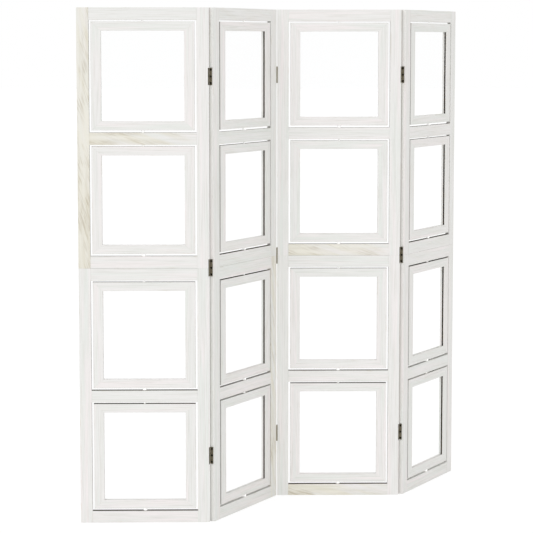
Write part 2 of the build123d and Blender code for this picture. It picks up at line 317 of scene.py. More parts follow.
# %% [markdown]
# ## Tongue wood, nylon, plastic sheet and bronzed steel
#
# The loose tongues are beech, with short brown flecks. The pins and collars are moulded white nylon,
# which has a soft sheen and a faint mottle from the mould. The sheets are clear polished plastic, so
# nearly all light goes through them. The hinges are steel with a dark bronze plating: warm, satin, and
# rubbed lighter where the plating is thin.

# %% Tongues, pins and sheets
def mottled(add, first, second, *sizes, detail=2.0):
    """Noise with patches of these sizes, and a colour that goes with it from one tone to another."""
    place = add("ShaderNodeTexCoord").outputs["Object"]
    noise = stretched(add, place, *sizes, Detail=detail)
    tones = {"A": linear(first), "B": linear(second)}
    return noise, add("ShaderNodeMix", {"Factor": noise, **tones}, data_type="RGBA")


beech, add = new_material("planed_beech")
# Rays of beech are 2 to 4 mm long flecks, about 0.6 mm wide
_, colour = mottled(add, "#D8B58C", "#B98C60", 0.6, 0.6, 3)
surface = add("ShaderNodeBsdfPrincipled", {"Base Color": colour, "Roughness": 0.6, "IOR": 1.5})
add("ShaderNodeOutputMaterial", {"Surface": surface})

nylon, add = new_material("moulded_white_nylon")
mottle, colour = mottled(add, "#FFFFFE", "#F6F5F1", 1.5, 1.5)
roughness = add("ShaderNodeMapRange", {"Value": mottle, "To Min": 0.35, "To Max": 0.5})
# The nylon is given a faint glow of its own, painted light that keeps the pins white in the gaps' shade
glow = {"Emission Color": WHITE, "Emission Strength": 0.4}
surface = add("ShaderNodeBsdfPrincipled", {"Base Color": colour, "Roughness": roughness, "IOR": 1.53, **glow})
add("ShaderNodeOutputMaterial", {"Surface": surface})

clear_sheet, add = new_material("clear_acrylic_sheet")
place = add("ShaderNodeTexCoord").outputs["Object"]
# Wiping leaves hairlines about 1 mm apart, which only the gloss shows
wiped = stretched(add, place, 1, 1, Detail=2.0)
roughness = add("ShaderNodeMapRange", {"Value": wiped, "To Min": 0.04, "To Max": 0.12})
clear = {"Base Color": linear("#F6FBFD"), "IOR": 1.49, "Alpha": 0.01}
surface = add("ShaderNodeBsdfPrincipled", {"Roughness": roughness, **clear})
add("ShaderNodeOutputMaterial", {"Surface": surface})
print("materials:", len(bpy.data.materials))

# %% Hinges and screws
bronze, add = new_material("bronze_plated_steel")
plating, colour = mottled(add, "#88816F", "#A19A88", 4, 4, detail=3.0)
# The plates' cut edges are drawn dark, as painted shade beside the hinge
sheared = add("ShaderNodeAttribute", attribute_name="sheared").outputs["Fac"]
colour = add("ShaderNodeMix", {"Factor": sheared, "A": colour, "B": linear("#4A4436")}, data_type="RGBA")
roughness = add("ShaderNodeMapRange", {"Value": plating, "To Min": 0.35, "To Max": 0.5})
surface = add("ShaderNodeBsdfPrincipled", {"Base Color": colour, "Metallic": 0.85, "Roughness": roughness})
add("ShaderNodeOutputMaterial", {"Surface": surface})

screw_steel, add = new_material("blackened_screw_steel")
_, colour = mottled(add, "#1A1610", "#29231A", 1, 1)
surface = add("ShaderNodeBsdfPrincipled", {"Base Color": colour, "Metallic": 0.6, "Roughness": 0.5})
add("ShaderNodeOutputMaterial", {"Surface": surface})
print("materials:", len(bpy.data.materials))

# %% [markdown]
# ## Where the panels and the photo frames stand
#
# Every board is easiest to make lying square to the axes, so each panel gets a matrix from its own terms
# (across from its left edge, back from its front face, up from the floor) to its place in the zigzag.
# The CAD model's joints give it: a swivel's axis is the middle of a panel. Sizes are read off the CAD
# solids of panel 1, which stands square.

# %% Sizes and places
panels = (1, 2, 3, 4)
rows = ("bottom", "lower", "upper", "top")
turn = {1: 0.0, 2: radians(60), 3: 0.0, 4: radians(60)}
joint = {each["name"]: each for each in frame["joints"]}

stile_low, stile_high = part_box("panel_1_stiles")
panel_width, thickness, panel_height = stile_high - stile_low
half_height = panel_height / 2
stile_width = 37 * MM
rail_height = 38 * MM
clear_width = panel_width - 2 * stile_width
bay_pitch = (half_height - rail_height) / 2
frame_low, frame_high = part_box("photo_frame_1_bottom")
frame_width, _, frame_height = frame_high - frame_low
gap_below = frame_low.z - rail_height
gap_above = bay_pitch - frame_high.z

frame_place = {}
panel_place = {}
for panel in panels:
    for row in rows:
        swivel = Vector(joint[f"swivel_{panel}_{row}"]["pos_m"])
        frame_place[panel, row] = Matrix.Translation(swivel) @ Matrix.Rotation(turn[panel], 4, "Z")
    upright = Matrix.Translation((swivel.x, swivel.y, 0)) @ Matrix.Rotation(turn[panel], 4, "Z")
    panel_place[panel] = upright @ Matrix.Translation((-panel_width / 2, -thickness / 2, 0))
print("panel", [round(size / MM, 2) for size in (panel_width, thickness, panel_height)], "mm")
print("photo frame", [round(size / MM, 2) for size in (frame_width, frame_height)], "mm")
print("gaps below and above it", [round(size / MM, 2) for size in (gap_below, gap_above)], "mm")

# %% [markdown]
# ## From a tree to a piece
#
# A Geometry Nodes tree is a recipe with named sizes. The next helpers make a tree with such inputs, run
# it once on an empty mesh, ease its sharp edges with a Bevel modifier, and keep the result as a plain
# mesh. Copies of that mesh then go to their places, each with boards of their own tint.

# %% Helpers for trees and pieces
SOCKETS = {
    float: "NodeSocketFloat", int: "NodeSocketInt",
    bpy.types.Material: "NodeSocketMaterial", type(None): "NodeSocketGeometry",
}


def new_tree(name, **inputs):
    """A Geometry Nodes tree with named inputs, the sockets that give them, and add_node bound to it."""
    tree = bpy.data.node_groups.new(name, "GeometryNodeTree")
    tree.interface.new_socket("Geometry", in_out="OUTPUT", socket_type="NodeSocketGeometry")
    for label, value in inputs.items():
        socket = tree.interface.new_socket(label, in_out="INPUT", socket_type=SOCKETS[type(value)])
        if value is not None:
            socket.default_value = value
    return tree, tree.nodes.new("NodeGroupInput").outputs, partial(add_node, tree)


def end_tree(add, geometry, material):
    """Ends a tree: the instances become real, get their material and go out."""
    real = add("GeometryNodeRealizeInstances", {"Geometry": geometry})
    clad = add("GeometryNodeSetMaterial", {"Geometry": real, "Material": material})
    add("NodeGroupOutput", {0: clad})


def run_tree(tree, ease, **sizes):
    """Runs a tree with these sizes, eases its edges by so much, and returns a plain mesh."""
    maker = bpy.data.objects.new(tree.name, bpy.data.meshes.new(tree.name))
    scene.collection.objects.link(maker)
    recipe = maker.modifiers.new("recipe", "NODES")
    recipe.node_group = tree
    for item in tree.interface.items_tree:
        if item.in_out == "INPUT" and item.name in sizes:
            recipe[item.identifier] = sizes[item.name]
    bevel = maker.modifiers.new("eased edges", "BEVEL")
    bevel.width = ease
    bevel.segments = 2
    bevel.limit_method = "ANGLE"
    bevel.angle_limit = radians(40)
    bevel.harden_normals = False
    graph = bpy.context.evaluated_depsgraph_get()
    result = maker.evaluated_get(graph)
    mesh = bpy.data.meshes.new_from_object(result, preserve_all_data_layers=True, depsgraph=graph)
    bpy.data.objects.remove(maker)
    print(tree.name, "gives", len(mesh.polygons), "faces")
    return mesh


def place_piece(name, mesh, place, body, slot, *nodes):
    """Makes a piece from a copy of a mesh, puts it in place, and hands it to its body for CAD nodes."""
    mesh = mesh.copy()
    mesh.name = name
    mesh.transform(place)
    piece = bpy.data.objects.new(name, mesh)
    scene.collection.objects.link(piece)
    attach(piece, body)
    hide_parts(*nodes)
    return piece


def place_on_panel(panel, label, mesh, slot, node):
    """Makes a piece that belongs to a panel, in the panel's own terms."""
    body = f"panel_{panel}"
    return place_piece(f"{body}_{label}", mesh, panel_place[panel], body, slot, f"{body}_{node}")


print("a tree takes", len(SOCKETS), "kinds of input")

# %% [markdown]
# ## Boards
#
# A stile, a rail and a bar of a photo frame are all a board: a planed length of wood with grain along
# it. What the wood looks like depends on where in the board a point lies, and on which board it is. A
# group stores the first in every tree. The second comes after the tree has run: each board gets a number
# of its own, so that no two share their grain.

# %% A group that stores a board's own coordinates
keep_board, given, add = new_tree(
    "board_coordinates", Mesh=None, Across=stile_width, Through=thickness, Along=half_height,
    Outer=0.0, Inner=0.0,
)
xyz = add("ShaderNodeSeparateXYZ", {0: add("GeometryNodeInputPosition")}).outputs
grain = (xyz["Z"], xyz["X"], xyz["Y"])
size = (given["Along"], given["Across"], given["Through"])
half = add("ShaderNodeVectorMath", {0: size, 1: (0.5, 0.5, 0.5)}, operation="MULTIPLY")
section = add("ShaderNodeVectorMath", {0: grain, 1: half}, operation="DIVIDE")
kept = given["Mesh"]
for label, place in (("grain", grain), ("section", section)):
    kept = add(
        "GeometryNodeStoreNamedAttribute", {"Geometry": kept, "Name": label, "Value": place},
        data_type="FLOAT_VECTOR", domain="POINT",
    )
# Faces towards the gaps, looking along -X and +X, are marked for painted shade by the Outer and Inner shares
facing = add("ShaderNodeSeparateXYZ", {0: add("GeometryNodeInputNormal")}).outputs["X"]
for label, test, limit, amount in (
    ("unwashed", "LESS_THAN", -0.9, "Outer"),
    ("part_washed", "GREATER_THAN", 0.9, "Inner"),
):
    on_side = add("ShaderNodeMath", {0: facing, 1: limit}, operation=test)
    share = add("ShaderNodeMath", {0: on_side, 1: given[amount]}, operation="MULTIPLY")
    kept = add(
        "GeometryNodeStoreNamedAttribute", {"Geometry": kept, "Name": label, "Value": share},
        data_type="FLOAT", domain="FACE",
    )
add("NodeGroupOutput", {0: kept})
print(keep_board.name, "has", len(keep_board.nodes), "nodes")

# %% Helpers for boards
PLANK = 40


def sawn_board(add, across, through, along):
    """A plain upright board of these sizes, and the sizes by the names that keep_board has for them."""
    board = add("GeometryNodeMeshCube", {"Size": (across, through, along)})
    return board, {"Across": across, "Through": through, "Along": along}


def number_boards(add, instances):
    """Numbers the boards of a tree while they are still instances."""
    return add(
        "GeometryNodeStoreNamedAttribute",
        {"Geometry": instances, "Name": "board", "Value": add("GeometryNodeInputIndex")},
        data_type="INT", domain="INSTANCE",
    )


def tell_boards_apart(piece, seed, bare=None, corner=(0,), cream=0.0, coarse=(1,)):
    """Cuts each board from another place of a plank, PLANK metres long and wide, and gives it a tint.

    bare says how beige some boards are at either end, corner which side of a board closes on a neighbour,
    and the last argument how much painted shade its gap faces get. All three follow the order of the boards
    in the tree.
    """
    mesh = piece.data
    count = len(mesh.vertices)
    board = np.zeros(count, np.int32)
    grain = np.zeros(count * 3, np.float32)
    section = np.zeros(count * 3, np.float32)
    mesh.attributes["board"].data.foreach_get("value", board)
    mesh.attributes["grain"].data.foreach_get("vector", grain)
    mesh.attributes["section"].data.foreach_get("vector", section)
    random = np.random.default_rng(seed)
    number = board.max() + 1
    shift = random.uniform(0, PLANK, (number, 3))
    tints = random.uniform(0, 1, number)
    grain = grain.reshape(-1, 3) + shift[board]
    mesh.attributes["grain"].data.foreach_set("vector", grain.astype(np.float32).ravel())
    along = section.reshape(-1, 3)[:, 0] / 2 + 0.5
    ends = np.full((number, 2), cream)
    for each, pair in (bare or {}).items():
        ends[each] = pair
    shares = {
        "tint": tints[board],
        "bare": ends[board, 0] * (1 - along) + ends[board, 1] * along,
        "corner": np.resize(corner, number)[board],
        "coarse": np.resize(coarse, number)[board],
    }
    for label, values in shares.items():
        mesh.attributes.new(label, "FLOAT", "POINT").data.foreach_set("value", values.astype(np.float32))


print("planks are", PLANK, "m long")

# %% [markdown]
# ## Photo frames
#
# A photo frame is four bars of one grooved moulding, mitred at the corners and glued. It could be cut as
# a single block with a hole, but then the grain would run the wrong way in two of its sides and the
# mitres would not show. So one bar is made upright, with its outer edge to the left: the groove and the
# bore for the pivot are cut from it, its ends are slanted, and four turned copies close the frame. The
# front of the groove is 3 mm behind the face, where the saw ran after the wash had dried. The bare wood in
# the groove is drawn far darker than it is, as painted shade.

# %% Cutting a bar
side_bar_width = 31.5 * MM
end_bar_width = 28 * MM
drill_length = 26 * MM
thinnest_drill = 1 * MM
pin_facets = 24

# Outer sets how much painted shade the bar's outer edge gets; the last input, whether the groove is drawn
# dark as raw wood in painted shade
bar_tree, given, add = new_tree(
    "mitred_bar", Width=side_bar_width, Other=end_bar_width, Thickness=thickness, Length=frame_height,
    Lip=3 * MM, Groove=5 * MM, Depth=8 * MM, Bore=0.0, Outer=0.45, Raw=1.0,
)
blank, sizes = sawn_board(add, given["Width"], given["Thickness"], given["Length"])
inner = add("ShaderNodeMath", {0: given["Width"], 1: 0.5}, operation="MULTIPLY")
outer = add("ShaderNodeMath", {0: given["Width"], 1: -0.5}, operation="MULTIPLY")
past_lip = add("ShaderNodeMath", {0: given["Thickness"], 1: -0.5, 2: given["Lip"]}, operation="MULTIPLY_ADD")
half_groove = add("ShaderNodeMath", {0: given["Groove"], 1: 0.5}, operation="MULTIPLY")
groove_middle = add("ShaderNodeMath", {0: past_lip, 1: half_groove}, operation="ADD")
saw_width = add("ShaderNodeMath", {0: given["Depth"], 1: 2.0}, operation="MULTIPLY")
saw_length = add("ShaderNodeMath", {0: given["Length"], 1: 1.2}, operation="MULTIPLY")
saw = add("GeometryNodeMeshCube", {"Size": (saw_width, given["Groove"], saw_length)})
saw = add("GeometryNodeTransform", {"Geometry": saw, "Translation": (inner, groove_middle, 0)})
radius = add("ShaderNodeMath", {0: given["Bore"], 1: thinnest_drill}, operation="MAXIMUM")
drill = {"Vertices": pin_facets, "Radius": radius, "Depth": drill_length}
drill = add("GeometryNodeMeshCylinder", drill)
placed = {"Geometry": drill, "Translation": (outer, 0, 0), "Rotation": (0, pi / 2, 0)}
drill = add("GeometryNodeTransform", placed)
bored = add("FunctionNodeCompare", {0: given["Bore"], 1: 0.0}, operation="GREATER_THAN")
drill = add("GeometryNodeSwitch", {"Switch": bored, "True": drill}, input_type="GEOMETRY")
tools = {"Mesh 1": blank, "Mesh 2": [saw, drill]}
cut = add("GeometryNodeMeshBoolean", tools, operation="DIFFERENCE", solver="EXACT")
kept = add("GeometryNodeGroup", {"Mesh": cut, "Outer": given["Outer"], **sizes}, node_tree=keep_board)
print(bar_tree.name, "has", len(bar_tree.nodes), "nodes")

# %% Marking the groove and slanting the ends
hair = 0.1 * MM
xyz = add("ShaderNodeSeparateXYZ", {0: add("GeometryNodeInputPosition")}).outputs
# How far a point lies towards an end of the bar: 1 at the lower end and -1 at the upper one
half_down = add("ShaderNodeMath", {0: given["Length"], 1: -0.5}, operation="MULTIPLY")
way = add("ShaderNodeMath", {0: xyz["Z"], 1: half_down}, operation="DIVIDE")
from_middle = add("ShaderNodeMath", {0: way}, operation="ABSOLUTE")
# A face gets the groove's dark colour, raw wood and painted shade, if its middle lies behind the lip, no
# deeper than the groove, and isn't the bar's end
half_slot = add("ShaderNodeMath", {0: half_groove, 1: hair}, operation="ADD")
within = add("ShaderNodeMath", {0: xyz["Y"], 1: groove_middle, 2: half_slot}, operation="COMPARE")
groove_floor = add("ShaderNodeMath", {0: inner, 1: given["Depth"]}, operation="SUBTRACT")
under_floor = add("ShaderNodeMath", {0: groove_floor, 1: hair}, operation="SUBTRACT")
deep = add("ShaderNodeMath", {0: xyz["X"], 1: under_floor}, operation="GREATER_THAN")
not_end = add("ShaderNodeMath", {0: from_middle, 1: 0.98}, operation="LESS_THAN")
raw = given["Raw"]
for test in (within, deep, not_end):
    raw = add("ShaderNodeMath", {0: raw, 1: test}, operation="MULTIPLY")
kept = add(
    "GeometryNodeStoreNamedAttribute", {"Geometry": kept, "Name": "raw", "Value": raw},
    data_type="FLOAT", domain="FACE",
)
# The mitre: an end's inner side is drawn in by the width of the neighbouring bar
inwards = {"Value": xyz["X"], "From Min": outer, "From Max": inner, "To Max": given["Other"]}
drawn_in = add("ShaderNodeMapRange", inwards)
pull = add("ShaderNodeMath", {0: drawn_in, 1: way}, operation="MULTIPLY")
at_end = add("ShaderNodeMath", {0: from_middle, 1: 0.8}, operation="GREATER_THAN")
mitred = add("GeometryNodeSetPosition", {"Geometry": kept, "Selection": at_end, "Offset": (0, 0, pull)})
add("NodeGroupOutput", {0: mitred})
print(bar_tree.name, "has", len(bar_tree.nodes), "nodes")

# %% The whole photo frame
frame_tree, given, add = new_tree(
    "photo_frame", Width=frame_width, Height=frame_height, Side=side_bar_width, End=end_bar_width,
    Bore=3.6 * MM, Wood=washed_wood,
)
side_sizes = {"Width": given["Side"], "Other": given["End"], "Length": given["Height"]}
side_bar = add("GeometryNodeGroup", side_sizes, node_tree=bar_tree)
# The end bars' grooves are not drawn dark, and their outer edges get nearly full painted shade
end_sizes = {"Width": given["End"], "Other": given["Side"], "Length": given["Width"], "Bore": given["Bore"]}
end_bar = add("GeometryNodeGroup", {"Outer": 0.88, "Raw": 0.0, **end_sizes}, node_tree=bar_tree)
bars = []
for bar, size, bar_width, axis, side, angle in (
    (side_bar, "Width", "Side", "X", -0.5, 0),
    (side_bar, "Width", "Side", "X", 0.5, pi),
    (end_bar, "Height", "End", "Z", -0.5, -pi / 2),
    (end_bar, "Height", "End", "Z", 0.5, pi / 2),
):
    apart = add("ShaderNodeMath", {0: given[size], 1: given[bar_width]}, operation="SUBTRACT")
    reach = add("ShaderNodeMath", {0: apart, 1: side}, operation="MULTIPLY")
    place = {"Translation": add("ShaderNodeCombineXYZ", {axis: reach}), "Rotation": (0, angle, 0)}
    instance = add("GeometryNodeGeometryToInstance", {0: bar})
    bars.append(add("GeometryNodeTransform", {"Geometry": instance, **place}))
joined = add("GeometryNodeJoinGeometry", {0: bars[::-1]})
end_tree(add, number_boards(add, joined), given["Wood"])
frame_mesh = run_tree(frame_tree, 0.5 * MM, Width=frame_width, Height=frame_height)

# %% Photo frames in their places
# The boards of the turned panels are a little creamier
cream = {1: 0.0, 2: 0.05, 3: 0.0, 4: 0.05}
# How much painted shade a frame's outer edges get: first its left, right and bottom bar in any row, and then
# its top bar, row by row from the bottom. On the turned panels most of these are smaller
frame_edges = {1: (1, 1, 1), 2: (0.8, 0.3, 0.45), 3: (1, 1, 1), 4: (0.5, 0.3, 0.45)}
top_edges = {1: (2, 1, 1, 1), 2: (0.4, 1.8, 1.3, 0.45), 3: (2, 1, 1, 1), 4: (0.3, 1.5, 1.1, 0.45)}
for panel in panels:
    for number, row in enumerate(rows):
        name = f"photo_frame_{panel}_{row}"
        body = f"frame_{panel}_{row}"
        place = frame_place[panel, row]
        piece = place_piece(name + "_wood", frame_mesh, place, body, "white_washed_wood", name)
        coarse = (*frame_edges[panel], top_edges[panel][number])
        tell_boards_apart(piece, 100 * panel + number, cream=cream[panel], coarse=coarse)
print("photo frames:", len(frame_place))

# %% [markdown]
# ## Stiles
#
# Each panel is two halves, one on the other, so a stile is two boards, and a fine seam shows at half
# height. Where a hinge sits, the board's edge is cut away for it. The upper board is the lower one
# turned end over end, and the right one is the left one turned about its length, so one board with one
# set of cuts makes them all.

# %% The stiles of a panel
# The middle of an outer hinge is this far from the panel's end
hinge_end = 210 * MM
shallowest_cut = 0.1 * MM

stile_tree, given, add = new_tree(
    "stiles", Panel=panel_width, Width=stile_width, Thickness=thickness, Length=half_height,
    Left=0.0, Right=0.0, Cut=55.1 * MM, End=hinge_end, Wood=washed_wood,
)
blank, sizes = sawn_board(add, given["Width"], given["Thickness"], given["Length"])
outer = add("ShaderNodeMath", {0: given["Width"], 1: -0.5}, operation="MULTIPLY")
left_middle = add("ShaderNodeMath", {0: given["Width"], 1: 0.5}, operation="MULTIPLY")
right_middle = add("ShaderNodeMath", {0: given["Panel"], 1: left_middle}, operation="SUBTRACT")
mid_depth = add("ShaderNodeMath", {0: given["Thickness"], 1: 0.5}, operation="MULTIPLY")
past_faces = add("ShaderNodeMath", {0: given["Thickness"], 1: 2.0}, operation="MULTIPLY")
lower_middle = add("ShaderNodeMath", {0: given["Length"], 1: 0.5}, operation="MULTIPLY")
upper_middle = add("ShaderNodeMath", {0: given["Length"], 1: 1.5}, operation="MULTIPLY")
low_hinge = add("ShaderNodeMath", {0: given["End"], 1: lower_middle}, operation="SUBTRACT")
boards = []
for side, middle, lower_turn, upper_turn in (
    ("Left", left_middle, (0, 0, 0), (pi, 0, 0)),
    ("Right", right_middle, (0, 0, pi), (0, pi, 0)),
):
    depth = add("ShaderNodeMath", {0: given[side], 1: shallowest_cut}, operation="MAXIMUM")
    both_ways = add("ShaderNodeMath", {0: depth, 1: 2.0}, operation="MULTIPLY")
    chisel = add("GeometryNodeMeshCube", {"Size": (both_ways, past_faces, given["Cut"])})
    # One hinge near the end of the board, and half of one over the seam, at the other end
    cuts = []
    for height in (low_hinge, lower_middle):
        cuts.append(add("GeometryNodeTransform", {"Geometry": chisel, "Translation": (outer, 0, height)}))
    tools = {"Mesh 1": blank, "Mesh 2": cuts}
    cut = add("GeometryNodeMeshBoolean", tools, operation="DIFFERENCE", solver="EXACT")
    hinged = add("FunctionNodeCompare", {0: given[side], 1: 0.0}, operation="GREATER_THAN")
    choice = {"Switch": hinged, "False": blank, "True": cut}
    board = add("GeometryNodeSwitch", choice, input_type="GEOMETRY")
    # A stile's inner edge gets painted shade in the middle of its thickness
    kept = add("GeometryNodeGroup", {"Mesh": board, "Inner": 1.0, **sizes}, node_tree=keep_board)
    instance = add("GeometryNodeGeometryToInstance", {0: kept})
    for height, turned in ((lower_middle, lower_turn), (upper_middle, upper_turn)):
        placed = {"Geometry": instance, "Translation": (middle, mid_depth, height), "Rotation": turned}
        boards.append(add("GeometryNodeTransform", placed))
joined = add("GeometryNodeJoinGeometry", {0: boards[::-1]})
end_tree(add, number_boards(add, joined), given["Wood"])
print(stile_tree.name, "has", len(stile_tree.nodes), "nodes")

# %% Stiles in their places
# How deep a hinge is let into a panel's left and right edge: less where the edges stand further apart
ridge = 2.15 * MM
valley = 1.15 * MM
hinge_cuts = {1: (0.0, ridge), 2: (ridge, valley), 3: (valley, ridge), 4: (ridge, 0.0)}
# Boards that hardly took the wash, by number: 0 and 1 are the left lower and upper ones, 2 and 3 the right
# ones. The pair says how beige one is at its lower and upper end, or the other way about if it was turned
beige_stiles = {1: {1: (0.75, 0.95)}, 2: {2: (0.4, 0.5)}}
# How much painted shade the faces towards the gaps get
stile_edges = {1: (1,), 2: (0.35,), 3: (1,), 4: (0.35,)}
# Which side of each board's thickness is the back, on the boards whose edges close at a ridge: the inner
# corner there gets painted shade
inner_corners = {1: (0, 0, -1, 1), 2: (1, -1, 0, 0), 3: (0, 0, -1, 1), 4: (1, -1, 0, 0)}
for panel in panels:
    left, right = hinge_cuts[panel]
    mesh = run_tree(stile_tree, 0.8 * MM, Left=left, Right=right)
    piece = place_on_panel(panel, "stile_boards", mesh, "white_washed_wood", "stiles")
    beige = beige_stiles.get(panel)
    tell_boards_apart(piece, 10 + panel, beige, inner_corners[panel], cream[panel], stile_edges[panel])

# %% [markdown]
# ## Rails
#
# Six rails to a panel, three in each half, and all alike. Repeating one board is what instances are
# for: a line of three points, copied one half higher, and a board on each point.

# %% The rails of a panel
def lines_of_points(add, count, pitch, halves):
    """Points one above the other, once for each half of the panel."""
    line = add("GeometryNodeMeshLine", {"Count": count, "Offset": (0, 0, pitch)}, mode="OFFSET")
    upper = add("GeometryNodeTransform", {"Geometry": line, "Translation": (0, 0, halves)})
    return add("GeometryNodeJoinGeometry", {0: [upper, line]})


rail_tree, given, add = new_tree(
    "rails", Length=clear_width, Height=rail_height, Thickness=thickness, Pitch=bay_pitch,
    Half=half_height, Wood=washed_wood,
)
blank, sizes = sawn_board(add, given["Height"], given["Thickness"], given["Length"])
# A rail's top face gets painted shade all over, and its underside in the middle of its thickness
kept = add("GeometryNodeGroup", {"Mesh": blank, "Outer": 1.0, "Inner": 1.0, **sizes}, node_tree=keep_board)
lying = add("GeometryNodeTransform", {"Geometry": kept, "Rotation": (0, pi / 2, 0)})
points = lines_of_points(add, 3, given["Pitch"], given["Half"])
boards = add("GeometryNodeInstanceOnPoints", {"Points": points, "Instance": lying})
end_tree(add, number_boards(add, boards), given["Wood"])
rail_mesh = run_tree(rail_tree, 0.8 * MM, Length=clear_width)
rail_mesh.transform(Matrix.Translation((panel_width / 2, thickness / 2, rail_height / 2)))

# %% Rails in their places
# The top and the underside of the panel face no gap, so they get no painted shade
for face in rail_mesh.polygons:
    if not 1 * MM < face.center.z < panel_height - 1 * MM:
        for label in ("unwashed", "part_washed"):
            rail_mesh.attributes[label].data[face.index].value = 0.0

# Rails that hardly took the wash, by number from the bottom, and how beige each is at either end
beige_rails = {1: {4: (1.0, 0.0)}, 3: {3: (1.0, 0.1), 0: (1.0, 0.2)}}
# How much painted shade the faces towards the gaps get, from the bottom rail up
rail_edges = {
    1: (1.7, 2, 1, 0.5, 1, 1), 2: (0.1, 0.6, 0.45, 1.9, 0.45, 0.45),
    3: (1.7, 2, 1, 1, 1, 1), 4: (0, 0.3, 0.45, 1.6, 1, 0.45),
}
for panel in panels:
    piece = place_on_panel(panel, "rail_boards", rail_mesh, "white_washed_wood", "rails")
    beige = beige_rails.get(panel)
    tell_boards_apart(piece, 20 + panel, beige, cream=cream[panel], coarse=rail_edges[panel])
print("rails:", sum(len(edges) for edges in rail_edges.values()))

# %% [markdown]
# ## Pivots
#
# A photo frame turns on two nylon pins. The lower one has a collar that the frame stands on, and it is
# all that shows of them: a small light spot in the gap. Both are turned shapes, so cylinders with eased
# ends are close to how they are made.

# %% The pivots of a panel
def upright_pin(add, radius, bottom, top):
    """A round pin on the tree's axis, from one height to another."""
    length = add("ShaderNodeMath", {0: top, 1: bottom}, operation="SUBTRACT")
    pin = add("GeometryNodeMeshCylinder", {"Vertices": pin_facets, "Radius": radius, "Depth": length})
    middle = add("ShaderNodeMath", {0: length, 1: 0.5, 2: bottom}, operation="MULTIPLY_ADD")
    return add("GeometryNodeTransform", {"Geometry": pin, "Translation": (0, 0, middle)})


collar_play = 0.2 * MM
pivot_tree, given, add = new_tree(
    "pivots", Pin=3.5 * MM, Collar=6 * MM, Rail=14 * MM, Frame=12 * MM, Below=gap_below, Above=gap_above,
    Opening=frame_height, Pitch=bay_pitch, Half=half_height, Bottom=rail_height, Nylon=nylon,
)
# Heights above the rail that carries the frame
pin_foot = add("ShaderNodeMath", {0: given["Rail"], 1: -1.0}, operation="MULTIPLY")
collar_top = add("ShaderNodeMath", {0: given["Below"], 1: collar_play}, operation="SUBTRACT")
lower_pin_top = add("ShaderNodeMath", {0: given["Below"], 1: given["Frame"]}, operation="ADD")
frame_top = add("ShaderNodeMath", {0: given["Below"], 1: given["Opening"]}, operation="ADD")
upper_pin_foot = add("ShaderNodeMath", {0: frame_top, 1: given["Frame"]}, operation="SUBTRACT")
next_rail = add("ShaderNodeMath", {0: frame_top, 1: given["Above"]}, operation="ADD")
upper_pin_top = add("ShaderNodeMath", {0: next_rail, 1: given["Rail"]}, operation="ADD")
lower_pin = upright_pin(add, given["Pin"], pin_foot, lower_pin_top)
collar = upright_pin(add, given["Collar"], 0.0, collar_top)
upper_pin = upright_pin(add, given["Pin"], upper_pin_foot, upper_pin_top)
pair = add("GeometryNodeJoinGeometry", {0: [lower_pin, collar, upper_pin]})
pair = add("GeometryNodeTransform", {"Geometry": pair, "Translation": (0, 0, given["Bottom"])})
points = lines_of_points(add, 2, given["Pitch"], given["Half"])
pins = add("GeometryNodeInstanceOnPoints", {"Points": points, "Instance": pair})
end_tree(add, pins, given["Nylon"])
pivot_mesh = run_tree(pivot_tree, 0.5 * MM, Opening=frame_height)
pivot_mesh.transform(Matrix.Translation((panel_width / 2, thickness / 2, 0)))
for panel in panels:
    place_on_panel(panel, "pivot_pins", pivot_mesh, "white_nylon", "pivots")

# %% [markdown]
# ## Hinges
#
# Each joint has three butt hinges, let into the panels' edges. A leaf is a plate with every other
# knuckle of the barrel rolled on it, and three countersunk screws. The left leaf has the outer knuckles
# and holds the pin, the right one has the middle knuckle. The tree makes a leaf with its axis on Z, its
# plate towards +X and its open face towards +Y, and the same tree makes both.

# %% Plate and knuckles
leaf_height = 52.5 * MM
knuckle_gap = 0.3 * MM
neck_overlap = 0.2 * MM
hinge_step = half_height - hinge_end
facets = 20


def three_in_line(add, step, x=0.0, y=0.0):
    """Three points one above the other, the middle one at height 0."""
    down = add("ShaderNodeMath", {0: step, 1: -1.0}, operation="MULTIPLY")
    line = {"Count": 3, "Start Location": (x, y, down), "Offset": (0, 0, step)}
    return add("GeometryNodeMeshLine", line, mode="OFFSET")


leaf_tree, given, add = new_tree(
    "hinge_leaves", Height=leaf_height, Width=10.5 * MM, Plate=1.5 * MM, Seat=2.55 * MM, Barrel=2.25 * MM,
    Pin=1.15 * MM, First=-1, Count=2, Pitch=(leaf_height + knuckle_gap) / 3, Gap=knuckle_gap,
    Screws=20.7 * MM, Head=3.4 * MM, Step=hinge_step, Steel=bronze, Screw=screw_steel,
)
face = add("ShaderNodeMath", {0: given["Plate"], 1: given["Seat"]}, operation="SUBTRACT")
half_plate = add("ShaderNodeMath", {0: given["Plate"], 1: 0.5}, operation="MULTIPLY")
plate_y = add("ShaderNodeMath", {0: face, 1: half_plate}, operation="SUBTRACT")
plate_width = add("ShaderNodeMath", {0: given["Width"], 1: given["Seat"]}, operation="SUBTRACT")
both_edges = add("ShaderNodeMath", {0: given["Width"], 1: given["Seat"]}, operation="ADD")
plate_x = add("ShaderNodeMath", {0: both_edges, 1: 0.5}, operation="MULTIPLY")
plate = add("GeometryNodeMeshCube", {"Size": (plate_width, given["Plate"], given["Height"])})
plate = add("GeometryNodeTransform", {"Geometry": plate, "Translation": (plate_x, plate_y, 0)})

